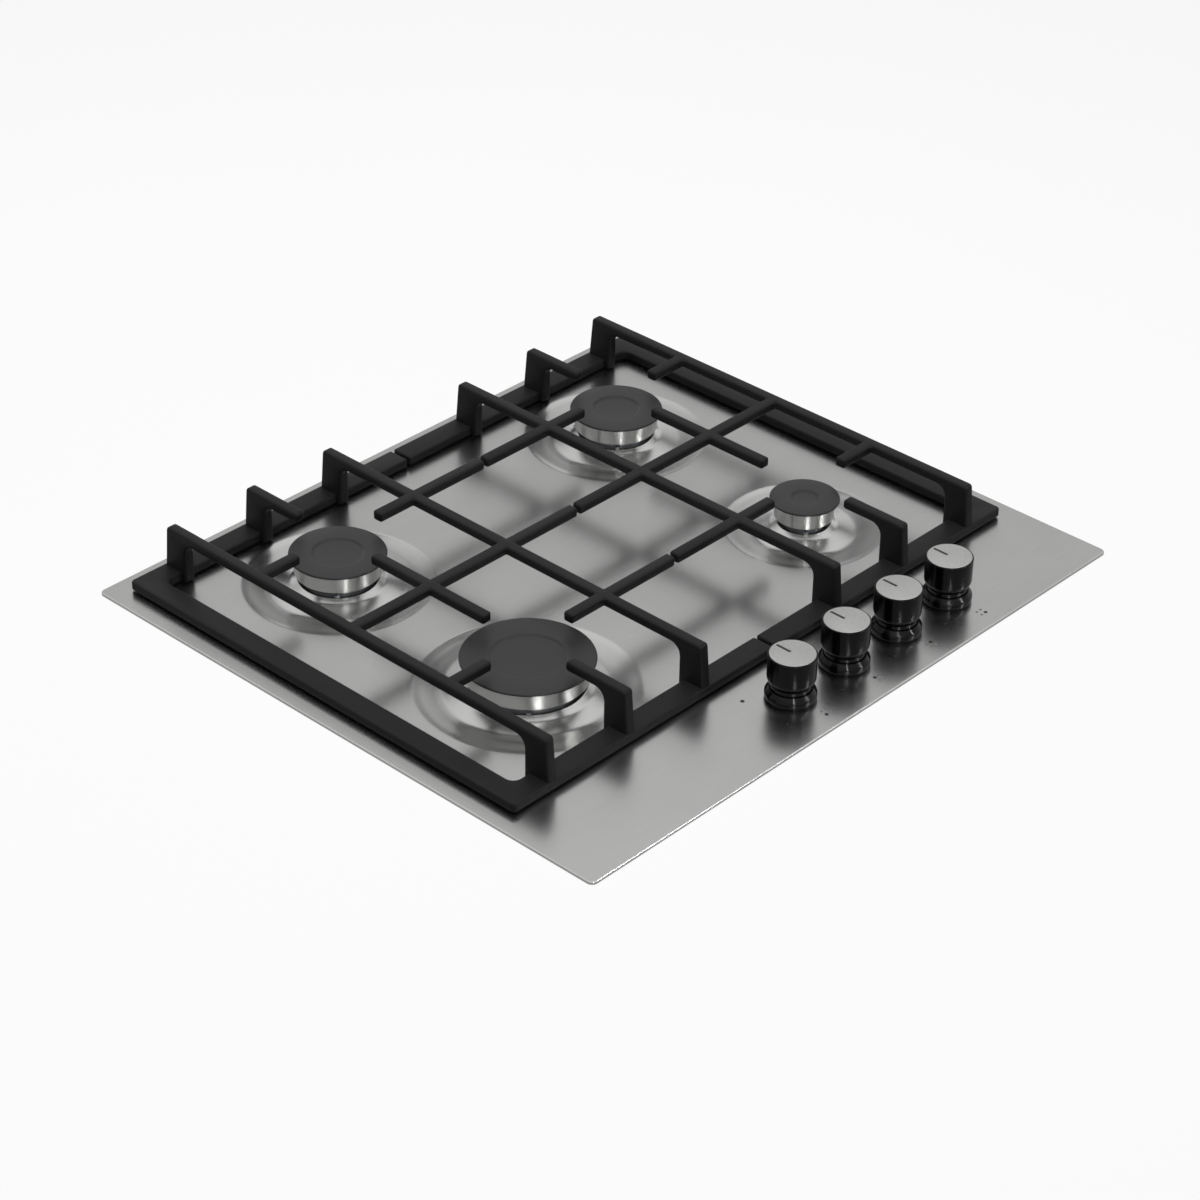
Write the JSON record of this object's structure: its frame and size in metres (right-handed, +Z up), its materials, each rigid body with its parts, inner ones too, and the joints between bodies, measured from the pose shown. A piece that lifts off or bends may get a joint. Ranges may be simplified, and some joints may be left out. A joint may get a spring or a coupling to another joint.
{
  "type": "gas cooktop",
  "caption": "Built-in gas hob: pressed steel plate with raised burners under two cast grates, push-and-turn knobs along the front right, casing, rail and taps below.",
  "frame": {"origin": "middle of the casing's flat underside, below the middle of the plate", "axes": "+Z up; -Y towards the cook, where the knobs are; +X to the cook's right"},
  "size_m": [0.58, 0.51, 0.093],
  "materials": {
    "stainless_plate": "brushed stainless steel, fine grain along the width",
    "galvanised_sheet": "bare galvanised sheet",
    "zinc_bracket": "bright zinc",
    "screw_steel": "zinc plated",
    "rail_steel": "dull grey coating",
    "brass": "turned brass",
    "foam_seal": "soft closed-cell foam",
    "black_plastic": "moulded",
    "white_plastic": "moulded",
    "ceramic_white": "fired, smooth",
    "copper_sheath": "copper",
    "cast_aluminium": "as cast, heat darkened",
    "tube_aluminium": "drawn tube",
    "polished_aluminium": "polished",
    "black_enamel": "matt black enamel on steel",
    "enamelled_iron": "matt black enamel on cast iron",
    "foot_rubber": "soft rubber",
    "gloss_black": "high gloss",
    "brushed_disc": "circular brushed",
    "spring_steel": "drawn wire"
  },
  "bodies": {
    "hob": {"top_plate": "stainless_plate", "bottom_tray": "galvanised_sheet", "worktop_seal": "foam_seal", "fixing_brackets": "zinc_bracket", "bracket_screws": "screw_steel", "tray_screws": "screw_steel", "gas_rail": "rail_steel", "gas_inlet_fitting": "brass", "ignition_module": "black_plastic", "module_screws": "screw_steel", "ignition_switches": "white_plastic", "cable_gland": "black_plastic", "rail_screws": "screw_steel", "tap_bodies": "brass", "magnet_units": "brass", "gas_tube_fl": "tube_aluminium", "gas_tube_bl": "tube_aluminium", "gas_tube_br": "tube_aluminium", "gas_tube_fr": "tube_aluminium", "burner_cup_fl": "cast_aluminium", "burner_cup_bl": "cast_aluminium", "burner_cup_br": "cast_aluminium", "burner_cup_fr": "cast_aluminium", "injectors": "brass", "cup_screws": "screw_steel", "electrodes": "ceramic_white", "thermocouples": "copper_sheath", "knob_bezels": "gloss_black"},
    "tap_fl": {"tap_plug_fl": "brass"},
    "control_fl": {"knob_fl": "gloss_black", "knob_disc_fl": "brushed_disc", "spindle_fl": "screw_steel", "knob_spring_fl": "spring_steel"},
    "head_fl": {"burner_head_fl": "polished_aluminium"},
    "cap_fl": {"burner_cap_fl": "black_enamel"},
    "tap_bl": {"tap_plug_bl": "brass"},
    "control_bl": {"knob_bl": "gloss_black", "knob_disc_bl": "brushed_disc", "spindle_bl": "screw_steel", "knob_spring_bl": "spring_steel"},
    "head_bl": {"burner_head_bl": "polished_aluminium"},
    "cap_bl": {"burner_cap_bl": "black_enamel"},
    "tap_br": {"tap_plug_br": "brass"},
    "control_br": {"knob_br": "gloss_black", "knob_disc_br": "brushed_disc", "spindle_br": "screw_steel", "knob_spring_br": "spring_steel"},
    "head_br": {"burner_head_br": "polished_aluminium"},
    "cap_br": {"burner_cap_br": "black_enamel"},
    "tap_fr": {"tap_plug_fr": "brass"},
    "control_fr": {"knob_fr": "gloss_black", "knob_disc_fr": "brushed_disc", "spindle_fr": "screw_steel", "knob_spring_fr": "spring_steel"},
    "head_fr": {"burner_head_fr": "polished_aluminium"},
    "cap_fr": {"burner_cap_fr": "black_enamel"},
    "grate_left_set": {"grate_left": "enamelled_iron", "grate_feet_left": "foot_rubber"},
    "grate_right_set": {"grate_right": "enamelled_iron", "grate_feet_right": "foot_rubber"}
  },
  "joints": [
    {"name": "turn_fl", "type": "hinge", "parent": "hob", "child": "tap_fl", "pos_m": [-0.03225, -0.208, 0.05], "axis": [0, 0, 1], "range_deg": [0, 127]},
    {"name": "push_fl", "type": "slide", "parent": "tap_fl", "child": "control_fl", "axis": [0, 0, 1], "range_m": [-0.003, 0], "stiffness_N_per_m": 900, "springref_m": 0.004, "deforming": ["knob_spring_fl"]},
    {"name": "lift_head_fl", "type": "slide", "parent": "hob", "child": "head_fl", "axis": [0, 0, 1], "range_m": [0, 0.004]},
    {"name": "lift_cap_fl", "type": "slide", "parent": "head_fl", "child": "cap_fl", "axis": [0, 0, 1], "range_m": [0, 0.004]},
    {"name": "turn_bl", "type": "hinge", "parent": "hob", "child": "tap_bl", "pos_m": [0.02825, -0.208, 0.05], "axis": [0, 0, 1], "range_deg": [0, 127]},
    {"name": "push_bl", "type": "slide", "parent": "tap_bl", "child": "control_bl", "axis": [0, 0, 1], "range_m": [-0.003, 0], "stiffness_N_per_m": 900, "springref_m": 0.004, "deforming": ["knob_spring_bl"]},
    {"name": "lift_head_bl", "type": "slide", "parent": "hob", "child": "head_bl", "axis": [0, 0, 1], "range_m": [0, 0.004]},
    {"name": "lift_cap_bl", "type": "slide", "parent": "head_bl", "child": "cap_bl", "axis": [0, 0, 1], "range_m": [0, 0.004]},
    {"name": "turn_br", "type": "hinge", "parent": "hob", "child": "tap_br", "pos_m": [0.08875, -0.208, 0.05], "axis": [0, 0, 1], "range_deg": [0, 127]},
    {"name": "push_br", "type": "slide", "parent": "tap_br", "child": "control_br", "axis": [0, 0, 1], "range_m": [-0.003, 0], "stiffness_N_per_m": 900, "springref_m": 0.004, "deforming": ["knob_spring_br"]},
    {"name": "lift_head_br", "type": "slide", "parent": "hob", "child": "head_br", "axis": [0, 0, 1], "range_m": [0, 0.004]},
    {"name": "lift_cap_br", "type": "slide", "parent": "head_br", "child": "cap_br", "axis": [0, 0, 1], "range_m": [0, 0.004]},
    {"name": "turn_fr", "type": "hinge", "parent": "hob", "child": "tap_fr", "pos_m": [0.14925, -0.208, 0.05], "axis": [0, 0, 1], "range_deg": [0, 127]},
    {"name": "push_fr", "type": "slide", "parent": "tap_fr", "child": "control_fr", "axis": [0, 0, 1], "range_m": [-0.003, 0], "stiffness_N_per_m": 900, "springref_m": 0.004, "deforming": ["knob_spring_fr"]},
    {"name": "lift_head_fr", "type": "slide", "parent": "hob", "child": "head_fr", "axis": [0, 0, 1], "range_m": [0, 0.004]},
    {"name": "lift_cap_fr", "type": "slide", "parent": "head_fr", "child": "cap_fr", "axis": [0, 0, 1], "range_m": [0, 0.004]},
    {"name": "lift_grate_left", "type": "slide", "parent": "hob", "child": "grate_left_set", "axis": [0, 0, 1], "range_m": [0, 0.06]},
    {"name": "lift_grate_right", "type": "slide", "parent": "hob", "child": "grate_right_set", "axis": [0, 0, 1], "range_m": [0, 0.06]}
  ]
}
